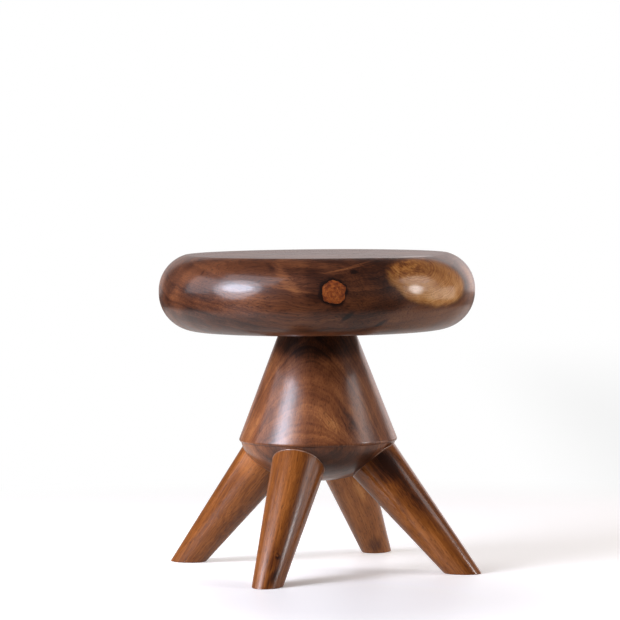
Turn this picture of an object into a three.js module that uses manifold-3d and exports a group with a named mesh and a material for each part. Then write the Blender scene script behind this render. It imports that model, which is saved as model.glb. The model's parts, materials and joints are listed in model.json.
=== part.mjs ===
import * as THREE from 'three';
import { mergeVertices } from 'three/addons/utils/BufferGeometryUtils.js';
import Module from 'manifold-3d';

// A low round stool of turned and oiled tropical hardwood: a thick round seat on a
// cone-shaped pedestal, and four tapered legs that splay from the pedestal's bowl.
// Lengths are in millimetres and angles in degrees. Z is up, the floor is z = 0 and
// the stool's axis is the Z axis. The viewer of the front stands at -Y.

// Seat
const SEAT_HEIGHT = 430;
const SEAT_DIAMETER = 430;
const SEAT_THICKNESS = 103;
const SEAT_EDGE_INSET = 36;
const SEAT_UPPER_ROUND = 50.5;
const SEAT_LOWER_ROUND = 51.5;

// Pedestal, with heights above the floor
const NECK_DIAMETER = 101.5;
const RIM_DIAMETER = 215;
const RIM_HEIGHT = 178;
const RIM_UPPER_ROUND = 5;
const RIM_LOWER_ROUND = 3;
const RIM_TUCK = 60;
const BOWL_DIAMETER = 211;
const BOWL_DEPTH = 60.5;
const BOWL_EQUATOR_ABOVE_RIM = 3.5;

// Legs, whose axes meet at one point on the stool's axis
const LEG_SPLAY = 40.2;
const LEG_HUB_ABOVE_RIM = 66.2;
const LEG_FOOT_DIAMETER = 39.6;
const LEG_SHOULDER_DIAMETER = 72;
const LEG_SEAT_DEPTH = 5.4;
const FRONT_LEG_AZIMUTH = -109.5;
const RIGHT_LEG_AZIMUTH = -19;
const BACK_LEG_AZIMUTH = 66.5;
const LEFT_LEG_AZIMUTH = 153;

// Round tenons, each as deep in its mortise as it is long, less the end gap
const SEAT_TENON_DIAMETER = 52;
const SEAT_TENON_LENGTH = 50;
const LEG_TENON_DIAMETER = 38;
const LEG_TENON_LENGTH = 52;
const TENON_END_GAP = 2;

// Wedges that spread the tenons in their blind mortises
const SEAT_WEDGE_LENGTH = 34;
const SEAT_WEDGE_WIDTH = 36;
const SEAT_WEDGE_THICK_END = 7;
const SEAT_WEDGE_THIN_END = 2;
const LEG_WEDGE_LENGTH = 32;
const LEG_WEDGE_WIDTH = 28;
const LEG_WEDGE_THICK_END = 5;
const LEG_WEDGE_THIN_END = 1.5;

// The loose knot in the seat's edge
const KNOT_DIAMETER = 33;
const KNOT_DEPTH = 42;
const KNOT_AZIMUTH = -84.2;
const KNOT_HEIGHT_ABOVE_UNDERSIDE = 60;

// The gap between a piece and what it is fitted to, and how far a cut runs past a surface
const FIT_GAP = 0.3;
const CUT_OVERRUN = 1;

// Facets
const SEAT_SIDES = 72;
const PEDESTAL_SIDES = 64;
const LEG_SIDES = 32;
const TENON_SIDES = 32;
const KNOT_SIDES = 24;
const ROUND_STEPS = 9;
const RIM_STEPS = 3;
const BOWL_STEPS = 10;

const wasm = await Module();
wasm.setup();

const radians = THREE.MathUtils.degToRad;

// Solids

function toSolid(geometry) {
  const bare = geometry.clone();
  bare.deleteAttribute('normal');
  bare.deleteAttribute('uv');
  const merged = mergeVertices(bare);
  const triVerts = [];
  for (let i = 0; i < merged.index.count; i += 3) {
    const corners = [0, 1, 2].map((step) => merged.index.getX(i + step));
    if (new Set(corners).size === 3) triVerts.push(...corners);
  }
  const mesh = new wasm.Mesh({
    numProp: 3,
    vertProperties: new Float32Array(merged.attributes.position.array),
    triVerts: new Uint32Array(triVerts),
  });
  return new wasm.Manifold(mesh);
}

function toGeometry(solid) {
  const mesh = solid.getMesh();
  const geometry = new THREE.BufferGeometry();
  const positions = new THREE.BufferAttribute(new Float32Array(mesh.vertProperties), 3);
  geometry.setAttribute('position', positions);
  geometry.setIndex(new THREE.BufferAttribute(new Uint32Array(mesh.triVerts), 1));
  geometry.computeVertexNormals();
  return geometry;
}

// A turned shape about Z, from [radius, height] pairs that climb from axis to axis.
function turned(profile, sides) {
  const points = profile.map(([radius, height]) => new THREE.Vector2(radius, height));
  return new THREE.LatheGeometry(points, sides).rotateX(Math.PI / 2);
}

// A round bar about Z from one height to another, straight or tapered.
function bar(bottomRadius, topRadius, bottom, top, sides) {
  return turned([[0, bottom], [bottomRadius, bottom], [topRadius, top], [0, top]], sides);
}

// Points of an elliptic arc as [radius, height], between two angles from the +radius way.
function arc(centreRadius, centreHeight, across, up, from, to, steps) {
  const points = [];
  for (let step = 0; step <= steps; step += 1) {
    const angle = from + ((to - from) * step) / steps;
    const radius = centreRadius + across * Math.cos(angle);
    const height = centreHeight + up * Math.sin(angle);
    points.push([radius, height]);
  }
  return points;
}

// A wedge about Z, thin end down: its width is along Y and its taper shows across X.
function wedge(length, width, thinEnd, thickEnd, grow) {
  const slope = (thickEnd - thinEnd) / 2 / length;
  const thin = thinEnd / 2 + grow - slope * grow;
  const thick = thickEnd / 2 + grow + slope * grow;
  const outline = new THREE.Shape([
    new THREE.Vector2(-thin, -grow),
    new THREE.Vector2(thin, -grow),
    new THREE.Vector2(thick, length + grow),
    new THREE.Vector2(-thick, length + grow),
  ]);
  const depth = width + 2 * grow;
  const body = new THREE.ExtrudeGeometry(outline, { depth, bevelEnabled: false });
  return body.translate(0, 0, -depth / 2).rotateX(Math.PI / 2);
}

const LEGS = {
  leg_front: FRONT_LEG_AZIMUTH,
  leg_right: RIGHT_LEG_AZIMUTH,
  leg_back: BACK_LEG_AZIMUTH,
  leg_left: LEFT_LEG_AZIMUTH,
};

// Heights and radii that follow from the sizes

const seatRadius = SEAT_DIAMETER / 2;
const seatUnderside = SEAT_HEIGHT - SEAT_THICKNESS;
const neckTop = seatUnderside - FIT_GAP;
const bowlEquator = RIM_HEIGHT + BOWL_EQUATOR_ABOVE_RIM;
const bowlRadius = BOWL_DIAMETER / 2;
const hubHeight = RIM_HEIGHT + LEG_HUB_ABOVE_RIM;
const splay = radians(LEG_SPLAY);
const footCircleRadius = hubHeight * Math.tan(splay);

// Distance up a leg's axis, from the floor, to the bowl's elliptic surface.
function distanceToBowl() {
  const inward = Math.sin(splay) / bowlRadius;
  const upward = Math.cos(splay) / BOWL_DEPTH;
  const radius = footCircleRadius / bowlRadius;
  const height = bowlEquator / BOWL_DEPTH;
  const squared = inward * inward + upward * upward;
  const half = radius * inward + height * upward;
  const rest = radius * radius + height * height - 1;
  return (half - Math.sqrt(half * half - squared * rest)) / squared;
}

const shoulderDistance = distanceToBowl() + LEG_SEAT_DEPTH;

// Moves a shape made about Z, with its base at the floor, onto the leg axis at azimuth 0.
function ontoLegAxis(geometry) {
  return geometry.rotateY(-splay).translate(footCircleRadius, 0, 0);
}

// Seat

function seatProfile() {
  const upper = SEAT_UPPER_ROUND;
  const inset = Math.min(SEAT_EDGE_INSET, upper);
  const start = Math.acos((upper - inset) / upper);
  const drop = upper * Math.sin(start);
  const lower = Math.min(SEAT_LOWER_ROUND, SEAT_THICKNESS - drop);
  const lowerCentre = seatUnderside + lower;
  const upperCentre = SEAT_HEIGHT - drop;
  const under = arc(seatRadius - lower, lowerCentre, lower, lower, -Math.PI / 2, 0, ROUND_STEPS);
  const over = arc(seatRadius - upper, upperCentre, upper, upper, 0, start, ROUND_STEPS);
  return [[0, seatUnderside], ...under, ...over, [0, SEAT_HEIGHT]];
}

function knotCore(grow) {
  const radius = KNOT_DIAMETER / 2 + grow;
  const inner = seatRadius - KNOT_DEPTH - grow;
  const core = bar(radius, radius, inner, seatRadius + CUT_OVERRUN, KNOT_SIDES);
  return core
    .rotateY(Math.PI / 2)
    .translate(0, 0, seatUnderside + KNOT_HEIGHT_ABOVE_UNDERSIDE)
    .rotateZ(radians(KNOT_AZIMUTH));
}

function seatMortise() {
  const radius = SEAT_TENON_DIAMETER / 2 + FIT_GAP;
  const top = neckTop + SEAT_TENON_LENGTH + TENON_END_GAP;
  return bar(radius, radius, seatUnderside - CUT_OVERRUN, top, TENON_SIDES);
}

const seatBlank = toSolid(turned(seatProfile(), SEAT_SIDES));

function seatSolid() {
  return seatBlank.subtract(toSolid(seatMortise())).subtract(toSolid(knotCore(FIT_GAP)));
}

function knotSolid() {
  return seatBlank.intersect(toSolid(knotCore(0)));
}

// Pedestal

// The cone's slope from the vertical, drawn from the neck's edge so that it meets the
// rim's round without a corner.
function coneAngle() {
  const across = RIM_DIAMETER / 2 - RIM_UPPER_ROUND - NECK_DIAMETER / 2;
  const down = neckTop - RIM_HEIGHT;
  const reach = Math.hypot(across, down);
  return Math.atan2(across, down) + Math.asin(RIM_UPPER_ROUND / reach);
}

// The bowl, from its lowest point up to the crease under the rim's tucked edge.
function bowlPoints() {
  const crease = RIM_HEIGHT - RIM_LOWER_ROUND * Math.sin(radians(RIM_TUCK));
  const end = -Math.asin((bowlEquator - crease) / BOWL_DEPTH);
  return arc(0, bowlEquator, bowlRadius, BOWL_DEPTH, -Math.PI / 2, end, BOWL_STEPS);
}

function pedestalProfile() {
  const lower = RIM_LOWER_ROUND;
  const upper = RIM_UPPER_ROUND;
  const rimRadius = RIM_DIAMETER / 2;
  const tuck = radians(RIM_TUCK);
  const lowerArc = arc(rimRadius - lower, RIM_HEIGHT, lower, lower, -tuck, 0, RIM_STEPS);
  const upperArc = arc(rimRadius - upper, RIM_HEIGHT, upper, upper, 0, coneAngle(), RIM_STEPS);
  const tenonRadius = SEAT_TENON_DIAMETER / 2;
  const tenonTop = neckTop + SEAT_TENON_LENGTH;
  const neck = [[NECK_DIAMETER / 2, neckTop], [tenonRadius, neckTop]];
  const tenon = [[tenonRadius, tenonTop], [0, tenonTop]];
  return [...bowlPoints(), ...lowerArc, ...upperArc.slice(1), ...neck, ...tenon];
}

function seatWedge(grow) {
  const ends = [SEAT_WEDGE_THIN_END, SEAT_WEDGE_THICK_END];
  const blade = wedge(SEAT_WEDGE_LENGTH, SEAT_WEDGE_WIDTH, ...ends, grow);
  return blade.translate(0, 0, neckTop + SEAT_TENON_LENGTH - SEAT_WEDGE_LENGTH);
}

// The flat seat and the blind mortise for one leg, at azimuth 0.
function legSocket() {
  const flatRadius = LEG_SHOULDER_DIAMETER / 2 + FIT_GAP;
  const boreRadius = LEG_TENON_DIAMETER / 2 + FIT_GAP;
  const outside = shoulderDistance - LEG_SHOULDER_DIAMETER / 2;
  const face = shoulderDistance + FIT_GAP;
  const end = shoulderDistance + LEG_TENON_LENGTH + TENON_END_GAP;
  const flat = [[0, outside], [flatRadius, outside], [flatRadius, face]];
  const bore = [[boreRadius, face], [boreRadius, end], [0, end]];
  return ontoLegAxis(turned([...flat, ...bore], LEG_SIDES));
}

function pedestalSolid() {
  let solid = toSolid(turned(pedestalProfile(), PEDESTAL_SIDES));
  for (const azimuth of Object.values(LEGS)) {
    solid = solid.subtract(toSolid(legSocket().rotateZ(radians(azimuth))));
  }
  return solid.subtract(toSolid(seatWedge(FIT_GAP)));
}

// Legs

function legWedge(grow) {
  const base = shoulderDistance + LEG_TENON_LENGTH - LEG_WEDGE_LENGTH;
  const ends = [LEG_WEDGE_THIN_END, LEG_WEDGE_THICK_END];
  const blade = wedge(LEG_WEDGE_LENGTH, LEG_WEDGE_WIDTH, ...ends, grow);
  return ontoLegAxis(blade.translate(0, 0, base));
}

function legSolid() {
  const footRadius = LEG_FOOT_DIAMETER / 2;
  const shoulderRadius = LEG_SHOULDER_DIAMETER / 2;
  const tenonRadius = LEG_TENON_DIAMETER / 2;
  const taper = (shoulderRadius - footRadius) / shoulderDistance;
  const below = -footRadius * Math.tan(splay) - CUT_OVERRUN;
  const tip = shoulderDistance + LEG_TENON_LENGTH;
  const profile = [
    [0, below],
    [footRadius + taper * below, below],
    [shoulderRadius, shoulderDistance],
    [tenonRadius, shoulderDistance],
    [tenonRadius, tip],
    [0, tip],
  ];
  const blank = toSolid(ontoLegAxis(turned(profile, LEG_SIDES)));
  const reach = footCircleRadius + LEG_FOOT_DIAMETER / Math.cos(splay);
  const floor = new THREE.BoxGeometry(2 * reach, 2 * reach, reach).translate(0, 0, -reach / 2);
  return blank.subtract(toSolid(floor)).subtract(toSolid(legWedge(FIT_GAP)));
}

// Finishes

const FINISHES = {
  seat: { color: 0x4a2a1a, roughness: 0.35, metalness: 0 },
  pedestal: { color: 0x5a3018, roughness: 0.35, metalness: 0 },
  leg: { color: 0x7a4524, roughness: 0.38, metalness: 0 },
  knot: { color: 0xa8662f, roughness: 0.45, metalness: 0 },
  wedge: { color: 0x8a5a34, roughness: 0.6, metalness: 0 },
};

function piece(name, geometry, finish) {
  const mesh = new THREE.Mesh(geometry, new THREE.MeshStandardMaterial(FINISHES[finish]));
  mesh.name = name;
  return mesh;
}

// The assembly

const stool = new THREE.Group();
stool.add(piece('seat', toGeometry(seatSolid()), 'seat'));
stool.add(piece('seat_knot', toGeometry(knotSolid()), 'knot'));
stool.add(piece('pedestal', toGeometry(pedestalSolid()), 'pedestal'));
stool.add(piece('seat_tenon_wedge', toGeometry(toSolid(seatWedge(0))), 'wedge'));

const legGeometry = toGeometry(legSolid());
const legWedgeGeometry = toGeometry(toSolid(legWedge(0)));
for (const [name, azimuth] of Object.entries(LEGS)) {
  const corner = new THREE.Group();
  corner.rotation.z = radians(azimuth);
  corner.add(piece(name, legGeometry, 'leg'));
  corner.add(piece(`${name}_tenon_wedge`, legWedgeGeometry, 'wedge'));
  stool.add(corner);
}

export default stool;
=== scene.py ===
"""A low round stool of turned and oiled tropical hardwood, dressed for a studio picture.

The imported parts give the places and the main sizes. The seat, its knot, the pedestal and
the legs are modelled again here with fine surfaces, and every piece is dressed in wood.
Shapes are in metres, patterns in the wood are in millimetres, and angles are in degrees
where nothing else is said. Z is up, the floor is z = 0, and the viewer of the front stands at -Y.
"""

import json
import logging
import math
from collections.abc import Callable, Iterable
from dataclasses import dataclass, field
from enum import Enum
from typing import Any

import bmesh
import bpy
from mathutils import Matrix, Vector


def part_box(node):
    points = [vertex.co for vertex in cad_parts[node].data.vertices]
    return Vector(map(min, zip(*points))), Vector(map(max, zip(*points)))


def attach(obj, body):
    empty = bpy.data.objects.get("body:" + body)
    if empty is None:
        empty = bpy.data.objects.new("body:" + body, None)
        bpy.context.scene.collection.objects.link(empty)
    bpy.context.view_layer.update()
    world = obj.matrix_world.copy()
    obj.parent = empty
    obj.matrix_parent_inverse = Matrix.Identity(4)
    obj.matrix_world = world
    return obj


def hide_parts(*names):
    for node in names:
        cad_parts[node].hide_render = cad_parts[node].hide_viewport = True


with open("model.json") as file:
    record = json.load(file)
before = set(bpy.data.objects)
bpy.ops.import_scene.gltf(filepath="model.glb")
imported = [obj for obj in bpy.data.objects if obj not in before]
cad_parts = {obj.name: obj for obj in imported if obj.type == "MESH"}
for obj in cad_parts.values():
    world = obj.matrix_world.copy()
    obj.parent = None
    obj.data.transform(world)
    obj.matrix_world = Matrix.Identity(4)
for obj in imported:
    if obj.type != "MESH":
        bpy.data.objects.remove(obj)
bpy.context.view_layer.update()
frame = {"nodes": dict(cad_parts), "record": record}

Object = bpy.types.Object
Tree = bpy.types.NodeTree
Node = bpy.types.Node
Socket = bpy.types.NodeSocket
Point = tuple[float, float]
Triple = tuple[float, float, float]

MM = 0.001
QUARTER = math.pi / 2
SMOOTH_ANGLE = math.radians(32)
MERGE_DISTANCE = 0.00001
DOWNWARDS = -0.9  # a face whose normal's Z is less than this looks down
WHITE = (1, 1, 1, 1)
EASED = {"interpolation_type": "SMOOTHSTEP"}  # for a mapped range that is smooth at both ends

log = logging.getLogger("stool")


class Cut(Enum):
    """What a cutting solid does to a piece."""

    AWAY = "DIFFERENCE"
    SHARED = "INTERSECT"


class Form(Enum):
    """The outline of a light panel."""

    SQUARE = "RECTANGLE"
    ROUND = "ELLIPSE"


# Modelling by hand


def only(piece: Object) -> None:
    """Makes one object the whole selection and the active one."""
    bpy.ops.object.select_all(action="DESELECT")
    piece.select_set(True)
    bpy.context.view_layer.objects.active = piece


def arc(centre: Point, across: float, up: float, start: float, end: float, steps: int) -> list[Point]:
    """Draws an elliptic arc as points of a half outline.

    Args:
        centre: Radius and height of the arc's centre.
        across: Half width of the ellipse.
        up: Half height of the ellipse.
        start: First angle in radians, from the outward direction.
        end: Last angle in radians.
        steps: Number of straight steps.

    Returns:
        Points as (radius, height).
    """
    angles = [start + (end - start) * step / steps for step in range(steps + 1)]
    return [(centre[0] + across * math.cos(a), centre[1] + up * math.sin(a)) for a in angles]


def lathe(name: str, outline: list[Point], sides: int) -> Object:
    """Turns a piece: one point is extruded along a half outline, which is spun about Z.

    Args:
        name: Name of the new object.
        outline: Points as (radius, height), from the axis back to the axis.
        sides: Number of steps round the axis.

    Returns:
        The closed turned piece, with its normals outwards.
    """
    radius, height = outline[0]
    bpy.ops.object.select_all(action="DESELECT")
    bpy.ops.mesh.primitive_plane_add(size=MM, location=(radius, 0, height))
    piece = bpy.context.object
    piece.name = name
    piece.data.name = name
    bpy.ops.object.transform_apply(location=True, rotation=False, scale=False)
    bpy.ops.object.mode_set(mode="EDIT")
    bpy.ops.mesh.select_all(action="SELECT")
    bpy.ops.mesh.merge(type="CENTER")
    for (from_radius, from_height), (to_radius, to_height) in zip(outline, outline[1:]):
        step = (to_radius - from_radius, 0, to_height - from_height)
        bpy.ops.mesh.extrude_region_move(TRANSFORM_OT_translate={"value": step})
    bpy.ops.mesh.select_all(action="SELECT")
    bpy.ops.mesh.spin(steps=sides, angle=2 * math.pi, center=(0, 0, 0), axis=(0, 0, 1))
    bpy.ops.mesh.select_all(action="SELECT")
    bpy.ops.mesh.remove_doubles(threshold=MERGE_DISTANCE)
    bpy.ops.mesh.dissolve_degenerate(threshold=MERGE_DISTANCE)
    bpy.ops.mesh.normals_make_consistent(inside=False)
    bpy.ops.object.mode_set(mode="OBJECT")
    return piece


def place(piece: Object, turn: Triple = (0, 0, 0), move: Triple = (0, 0, 0)) -> Object:
    """Turns and moves a piece and keeps the place in its mesh.

    Args:
        piece: The piece, at the origin.
        turn: Turns about X, Y and Z in radians.
        move: Distance along X, Y and Z.

    Returns:
        The same piece, with its object back at the origin.
    """
    only(piece)
    piece.rotation_euler = turn
    piece.location = move
    bpy.ops.object.transform_apply(location=True, rotation=True, scale=True)
    return piece


def twin(piece: Object, name: str) -> Object:
    """Copies a piece with a mesh of its own."""
    only(piece)
    bpy.ops.object.duplicate(linked=False)
    copy = bpy.context.object
    copy.name = name
    copy.data.name = name
    return copy


def cut(piece: Object, tool: Object, how: Cut) -> None:
    """Cuts a piece with a closed solid and throws the solid away."""
    modifier = piece.modifiers.new("cut", "BOOLEAN")
    modifier.operation = how.value
    modifier.solver = "EXACT"
    modifier.object = tool
    only(piece)
    bpy.ops.object.modifier_apply(modifier=modifier.name)
    bpy.data.objects.remove(tool)


def ease_edges(piece: Object, on_edge: Callable[[Vector], bool], width: float, segments: int) -> None:
    """Rounds the edges whose two ends both pass a test.

    Args:
        piece: The piece to ease.
        on_edge: Says whether a corner lies on an edge to round.
        width: Width taken off each side of the edge.
        segments: Steps round the edge.
    """
    only(piece)
    bpy.ops.object.mode_set(mode="EDIT")
    bpy.ops.mesh.select_mode(type="EDGE")
    bpy.ops.mesh.select_all(action="DESELECT")
    mesh = bmesh.from_edit_mesh(piece.data)
    for edge in mesh.edges:
        edge.select = all(on_edge(corner.co) for corner in edge.verts)
    bmesh.update_edit_mesh(piece.data)
    bpy.ops.mesh.bevel(offset=width, segments=segments, profile=0.5, affect="EDGES")
    bpy.ops.mesh.select_mode(type="VERT")
    bpy.ops.object.mode_set(mode="OBJECT")


def smooth(piece: Object) -> None:
    """Shades a piece smooth, with its crisp arrises kept."""
    only(piece)
    bpy.ops.object.shade_smooth_by_angle(angle=SMOOTH_ANGLE)


def mount_point(name: str) -> Vector:
    """Gives the place of one of the record's mounts."""
    mounts = {mount["name"]: mount["pos_m"] for mount in frame["record"]["mounts"]}
    return Vector(mounts[name])


def cut_slot(piece: Object, width: float, length: float, ends: Point, gap: float, top: float) -> None:
    """Cuts a wedge's slot with a cube that is stretched and drawn in at its lower end.

    Args:
        piece: The piece, with its tenon upright on the Z axis.
        width: Width of the wedge along Y.
        length: Length of the wedge.
        ends: Thickness of the wedge across X at its bottom and at its top.
        gap: Clearance all round the wedge.
        top: Height of the tenon's end.
    """
    thin, thick = (end + 2 * gap for end in ends)
    bottom, top = top - length - gap, top + gap
    bpy.ops.object.select_all(action="DESELECT")
    bpy.ops.mesh.primitive_cube_add(size=1, location=(0, 0, (bottom + top) / 2))
    solid = bpy.context.object
    solid.scale = (thick, width + 2 * gap, top - bottom)
    bpy.ops.object.transform_apply(location=True, rotation=False, scale=True)
    bpy.ops.object.mode_set(mode="EDIT")
    mesh = bmesh.from_edit_mesh(solid.data)
    for face in mesh.faces:
        face.select_set(face.normal.z < DOWNWARDS)
    bmesh.update_edit_mesh(solid.data)
    bpy.ops.transform.resize(value=(thin / thick, 1, 1), center_override=(0, 0, bottom))
    bpy.ops.object.mode_set(mode="OBJECT")
    cut(piece, solid, Cut.AWAY)


# Finishes


def linear(colour: str) -> tuple[float, float, float, float]:
    """Turns an sRGB hex colour such as "8a5a34" to linear light with full opacity."""
    parts = [int(colour[at : at + 2], 16) / 255 for at in (0, 2, 4)]
    light = [c / 12.92 if c <= 0.04045 else ((c + 0.055) / 1.055) ** 2.4 for c in parts]
    return (light[0], light[1], light[2], 1.0)


def add(tree: Tree, kind: str, *values: Any, tones: tuple[str, ...] = (),
        named: dict[str, Any] | None = None, **settings: Any) -> Node:
    """Adds a node to a tree, sets it up and fills its inputs.

    Args:
        tree: The node tree.
        kind: The node's type, without the "ShaderNode" before it.
        values: What goes to the inputs in use, from the first one on: a plain value, a
            socket, or a node, which stands for its first output in use.
        tones: Colours of a ramp, evenly spread.
        named: What goes to further inputs, by their names.
        settings: Properties of the node.

    Returns:
        The new node.
    """
    node = tree.nodes.new("ShaderNode" + kind)
    for name, value in settings.items():
        setattr(node, name, value)
    if tones:
        elements = node.color_ramp.elements
        while len(elements) < len(tones):
            elements.new(1.0)
        for at, colour in enumerate(tones):
            elements[at].position = at / (len(tones) - 1)
            elements[at].color = linear(colour)
    filled = list(zip([slot for slot in node.inputs if slot.enabled], values))
    filled += [(node.inputs[name], value) for name, value in (named or {}).items()]
    for slot, value in filled:
        if isinstance(value, Node):
            value = next(output for output in value.outputs if output.enabled)
        if isinstance(value, Socket):
            tree.links.new(value, slot)
        else:
            slot.default_value = value
    return node


def clean_tree(owner: bpy.types.ID) -> Tree:
    """Gives a material or a world an empty node tree."""
    owner.use_nodes = True
    owner.node_tree.nodes.clear()
    return owner.node_tree


@dataclass(frozen=True)
class Board:
    """How one board of the hardwood is coloured and grained, in millimetres.

    Attributes:
        tones: sRGB colours from the darkest lines to the palest, evenly spread.
        pith: A point on the line that the growth rings lie round.
        turn: Turns in degrees that bring the X axis onto the fibres.
        band: Width of the broad colour bands.
        line: Width of the fine growth lines.
        stray: How far the grain wanders, and over what distance.
        band_share: Weight of the bands in the tone.
        line_share: Weight of the fine lines.
        fibre_share: Weight of the fibres.
        mottle_share: Weight of the soft mottle.
        level: Tone of the plain wood, from 0 to 1.
        fibre: Length and width of the fibres.
        pore_share: How dark the pores are.
    """

    tones: tuple[str, ...]
    pith: Triple
    turn: Triple
    band: float = 22.0
    line: float = 3.2
    stray: Point = (14.0, 110.0)
    band_share: float = 0.34
    line_share: float = 0.16
    fibre_share: float = 0.16
    mottle_share: float = 0.22
    level: float = 0.45
    fibre: Point = (45.0, 1.8)
    pore_share: float = 0.55


@dataclass(frozen=True)
class Patch:
    """A place in the wood that differs, an ellipsoid about a point of the surface.

    Attributes:
        centre: The point, in millimetres.
        turn: Turns in degrees that bring the X axis out of the surface and Z up along it.
        half_width: Half width along the surface, to the viewer's right.
        half_height: Half height up the surface.
        shift: What it adds to the wood's tone.
        edge: Softness of its border as a share of its size.
        depth: How far it reaches into the wood.
        ragged: How far its border strays as a share of its size.
        grit: Width of the border's irregularities, in millimetres.
    """

    centre: Triple
    turn: Triple
    half_width: float
    half_height: float
    shift: float = 0.0
    edge: float = 0.5
    depth: float = 40.0
    ragged: float = 0.25
    grit: float = 18.0


@dataclass(frozen=True)
class Gloss:
    """How a surface is finished.

    Attributes:
        sheen: Roughness of the wood's own broad sheen.
        sheen_level: Strength of that sheen.
        coat: Strength of the thin coat's crisp reflection.
        coat_roughness: Roughness of the coat.
        relief: Depth of fibres and pores, in millimetres.
        waves: Height of the soft unevenness left by sanding, in millimetres.
        wave_width: Width of those waves, in millimetres.
    """

    sheen: float = 0.42
    sheen_level: float = 0.14
    coat: float = 0.62
    coat_roughness: float = 0.14
    relief: float = 0.05
    waves: float = 0.05
    wave_width: float = 30.0


class Wood:
    """Oiled and rubbed tropical hardwood, turned across open pores.

    To the eye: streaked brown figure that runs through the piece as in solid timber, short
    dark pores along the fibres, and a thin oil finish with soft, slightly uneven gloss.
    """

    # Lengths and widths along and across the fibres, in millimetres. Pores and ripples are
    # drawn coarser than real ones, so that they show in the picture.
    PORE = (8.0, 1.5)
    FINE_RIPPLE = (9.0, 2.2)
    MOTTLE = (95.0, 30.0)
    # The part of a pattern's range that is stretched to run from 0 to 1.
    PORE_RANGE = (0.58, 0.70)
    RING_RANGE = (0.28, 0.72)
    SOFT_RANGE = (0.3, 0.7)
    PORE_COLOUR = "1c0d07"
    IOR = 1.5
    # Rubbing leaves the roughness uneven over so many millimetres, by so much either way.
    WEAR_WIDTH = 26.0
    WEAR = 0.05
    FIBRE_RELIEF = 0.6
    PORE_RELIEF = -0.8
    BUMP_STRENGTH = 0.6

    def __init__(self, name: str, board: Board) -> None:
        """Starts the material and lays out the grain.

        Args:
            name: Name of the material.
            board: The board that it is cut from.
        """
        self.board = board
        self.material = bpy.data.materials.new(name)
        tree = self.tree = clean_tree(self.material)
        metres = add(tree, "TexCoord").outputs["Object"]
        self.place = add(tree, "VectorMath", metres, 1 / MM, operation="SCALE")
        self.bent = self.bent_grain()
        split = add(tree, "SeparateXYZ", self.bent).outputs
        square = add(tree, "Math", split["Y"], split["Y"], operation="MULTIPLY")
        square = add(tree, "Math", split["Z"], split["Z"], square, operation="MULTIPLY_ADD")
        self.ring = add(tree, "Math", square, operation="SQRT")
        self.fibres = self.streaks(board.fibre, 4.0)
        self.pores = add(tree, "MapRange", self.streaks(self.PORE, 1.0), *self.PORE_RANGE, **EASED)

    def displaced(self, where: Node, width: float, reach: float) -> Node:
        """Moves a place about by a soft cloud.

        Args:
            where: The place.
            width: Width of the cloud's lumps, in millimetres.
            reach: Greatest distance moved, either way.

        Returns:
            The moved place.
        """
        lumps = add(self.tree, "TexNoise", where, 1 / width).outputs["Color"]
        centred = add(self.tree, "VectorMath", lumps, (0.5, 0.5, 0.5), operation="SUBTRACT")
        sized = add(self.tree, "VectorMath", centred, 2 * reach, operation="SCALE")
        return add(self.tree, "VectorMath", where, sized, operation="ADD")

    def bent_grain(self) -> Node:
        """Gives the place in the board's own frame: X along the fibres, the pith at Y = Z = 0.

        A finer and weaker wander of the grain lies over the broad one.
        """
        turn = tuple(map(math.radians, self.board.turn))
        settled = add(self.tree, "Mapping", self.place, self.board.pith, turn, vector_type="TEXTURE")
        reach, width = self.board.stray
        return self.displaced(self.displaced(settled, width, reach), width / 6, reach / 12)

    def streaks(self, size: Point, detail: float) -> Node:
        """Adds streaks along the fibres, from their length and width in millimetres."""
        length, width = size
        shrink = (1 / length, 1 / width, 1 / width)
        stretched = add(self.tree, "VectorMath", self.bent, shrink, operation="MULTIPLY")
        return add(self.tree, "TexNoise", stretched, 1.0, detail)

    def rings(self, width: float) -> Node:
        """Gives uneven growth bands of a given width round the pith."""
        along = add(self.tree, "Math", self.ring, width, operation="DIVIDE")
        noise = add(self.tree, "TexNoise", along, 1.0, noise_dimensions="1D")
        return add(self.tree, "MapRange", noise, *self.RING_RANGE, **EASED)

    def weighted(self, base: Node | float, parts: Iterable[tuple[Node, float]]) -> Node:
        """Adds patterns to a base, each times its share."""
        for pattern, share in parts:
            base = add(self.tree, "Math", pattern, share, base, operation="MULTIPLY_ADD")
        return base

    def plain_tone(self) -> Node:
        """Adds up bands, lines, fibres and mottle to one tone about the board's level."""
        board = self.board
        fibres = add(self.tree, "MapRange", self.fibres, *self.SOFT_RANGE, **EASED)
        mottle = add(self.tree, "MapRange", self.streaks(self.MOTTLE, 4.0), *self.SOFT_RANGE, **EASED)
        parts = [(self.rings(board.band), board.band_share), (self.rings(board.line), board.line_share),
                 (fibres, board.fibre_share), (mottle, board.mottle_share)]
        return self.weighted(board.level - sum(share for _, share in parts) / 2, parts)

    def distance(self, patch: Patch) -> Node:
        """Gives the distance from a patch's centre as a share of the patch's size."""
        turn = tuple(map(math.radians, patch.turn))
        size = (patch.depth, patch.half_width, patch.half_height)
        strayed = self.displaced(self.place, patch.grit, patch.ragged * min(size[1:]))
        settled = add(self.tree, "Mapping", strayed, patch.centre, turn, size, vector_type="TEXTURE")
        return add(self.tree, "VectorMath", settled, operation="LENGTH")

    def inside(self, patch: Patch) -> Node:
        """Gives how far in a patch a place is, from 0 outside to 1 inside."""
        limits = (1 - patch.edge, 1 + patch.edge)
        return add(self.tree, "MapRange", self.distance(patch), *limits, 1.0, 0.0, **EASED)

    def shifted(self, tone: Node, patches: Iterable[Patch]) -> Node:
        """Darkens or lightens a tone inside each patch."""
        return self.weighted(tone, [(self.inside(patch), patch.shift) for patch in patches])

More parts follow.
